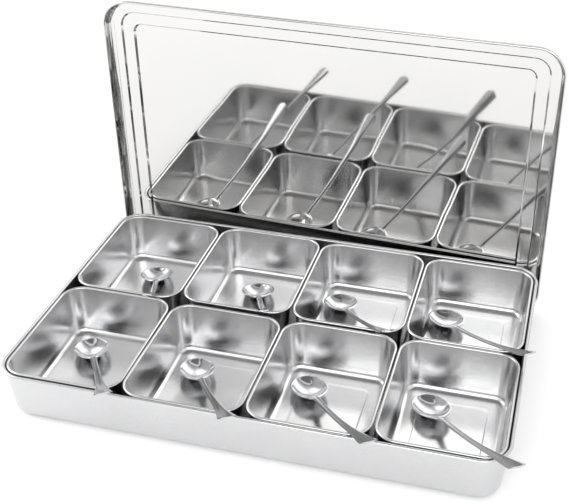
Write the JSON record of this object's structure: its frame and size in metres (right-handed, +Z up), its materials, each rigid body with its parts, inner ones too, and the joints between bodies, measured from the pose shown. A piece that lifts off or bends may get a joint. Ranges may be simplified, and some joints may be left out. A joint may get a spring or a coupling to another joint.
{
  "type": "bar garnish tray",
  "caption": "Shallow steel tray with rolled rims holding loose rectangular pans, a serving spoon in each, and its stepped lid stood on edge behind it, leaning on its rim.",
  "frame": {"origin": "centre of the tray's flat underside, on the surface it stands on", "axes": "+X along the tray's long side to the right, +Y from its front to its back, where the lid stands, +Z up"},
  "size_m": [0.3979, 0.2882, 0.2527],
  "materials": {
    "tray_steel": "bright stainless steel with a fine satin grain",
    "pan_steel": "satin stainless steel",
    "spoon_steel": "polished stainless steel",
    "lid_steel": "mirror-bright stainless steel"
  },
  "bodies": {
    "tray": {"tray": "tray_steel"},
    "pan_front_1": {"pan_front_1": "pan_steel"},
    "pan_front_2": {"pan_front_2": "pan_steel"},
    "pan_front_3": {"pan_front_3": "pan_steel"},
    "pan_front_4": {"pan_front_4": "pan_steel"},
    "pan_back_1": {"pan_back_1": "pan_steel"},
    "pan_back_2": {"pan_back_2": "pan_steel"},
    "pan_back_3": {"pan_back_3": "pan_steel"},
    "pan_back_4": {"pan_back_4": "pan_steel"},
    "spoon_front_1": {"spoon_front_1": "spoon_steel"},
    "spoon_front_2": {"spoon_front_2": "spoon_steel"},
    "spoon_front_3": {"spoon_front_3": "spoon_steel"},
    "spoon_front_4": {"spoon_front_4": "spoon_steel"},
    "spoon_back_1": {"spoon_back_1": "spoon_steel"},
    "spoon_back_2": {"spoon_back_2": "spoon_steel"},
    "spoon_back_3": {"spoon_back_3": "spoon_steel"},
    "spoon_back_4": {"spoon_back_4": "spoon_steel"},
    "lid": {"lid": "lid_steel"}
  },
  "joints": [
    {"name": "pan_front_1_lift", "type": "slide", "parent": "tray", "child": "pan_front_1", "axis": [0, 0, 1], "range_m": [0, 0.06]},
    {"name": "pan_front_2_lift", "type": "slide", "parent": "tray", "child": "pan_front_2", "axis": [0, 0, 1], "range_m": [0, 0.06]},
    {"name": "pan_front_3_lift", "type": "slide", "parent": "tray", "child": "pan_front_3", "axis": [0, 0, 1], "range_m": [0, 0.06]},
    {"name": "pan_front_4_lift", "type": "slide", "parent": "tray", "child": "pan_front_4", "axis": [0, 0, 1], "range_m": [0, 0.06]},
    {"name": "pan_back_1_lift", "type": "slide", "parent": "tray", "child": "pan_back_1", "axis": [0, 0, 1], "range_m": [0, 0.06]},
    {"name": "pan_back_2_lift", "type": "slide", "parent": "tray", "child": "pan_back_2", "axis": [0, 0, 1], "range_m": [0, 0.06]},
    {"name": "pan_back_3_lift", "type": "slide", "parent": "tray", "child": "pan_back_3", "axis": [0, 0, 1], "range_m": [0, 0.06]},
    {"name": "pan_back_4_lift", "type": "slide", "parent": "tray", "child": "pan_back_4", "axis": [0, 0, 1], "range_m": [0, 0.06]},
    {"name": "spoon_front_1_lift", "type": "slide", "parent": "pan_front_1", "child": "spoon_front_1", "axis": [0, 0, 1], "range_m": [0, 0.06]},
    {"name": "spoon_front_2_lift", "type": "slide", "parent": "pan_front_2", "child": "spoon_front_2", "axis": [0, 0, 1], "range_m": [0, 0.06]},
    {"name": "spoon_front_3_lift", "type": "slide", "parent": "pan_front_3", "child": "spoon_front_3", "axis": [0, 0, 1], "range_m": [0, 0.06]},
    {"name": "spoon_front_4_lift", "type": "slide", "parent": "pan_front_4", "child": "spoon_front_4", "axis": [0, 0, 1], "range_m": [0, 0.06]},
    {"name": "spoon_back_1_lift", "type": "slide", "parent": "pan_back_1", "child": "spoon_back_1", "axis": [0, 0, 1], "range_m": [0, 0.06]},
    {"name": "spoon_back_2_lift", "type": "slide", "parent": "pan_back_2", "child": "spoon_back_2", "axis": [0, 0, 1], "range_m": [0, 0.06]},
    {"name": "spoon_back_3_lift", "type": "slide", "parent": "pan_back_3", "child": "spoon_back_3", "axis": [0, 0, 1], "range_m": [0, 0.06]},
    {"name": "spoon_back_4_lift", "type": "slide", "parent": "pan_back_4", "child": "spoon_back_4", "axis": [0, 0, 1], "range_m": [0, 0.06]},
    {"name": "lid_slide", "type": "slide", "parent": "tray", "child": "lid", "axis": [0, 0.8, 0.6], "range_m": [0, 0.15]}
  ],
  "couplings": [
    {"joint": "spoon_back_1_lift", "follows": "pan_front_1_lift", "ratio": 1},
    {"joint": "spoon_back_2_lift", "follows": "pan_front_2_lift", "ratio": 1},
    {"joint": "spoon_back_3_lift", "follows": "pan_front_3_lift", "ratio": 1},
    {"joint": "spoon_back_4_lift", "follows": "pan_front_4_lift", "ratio": 1}
  ]
}
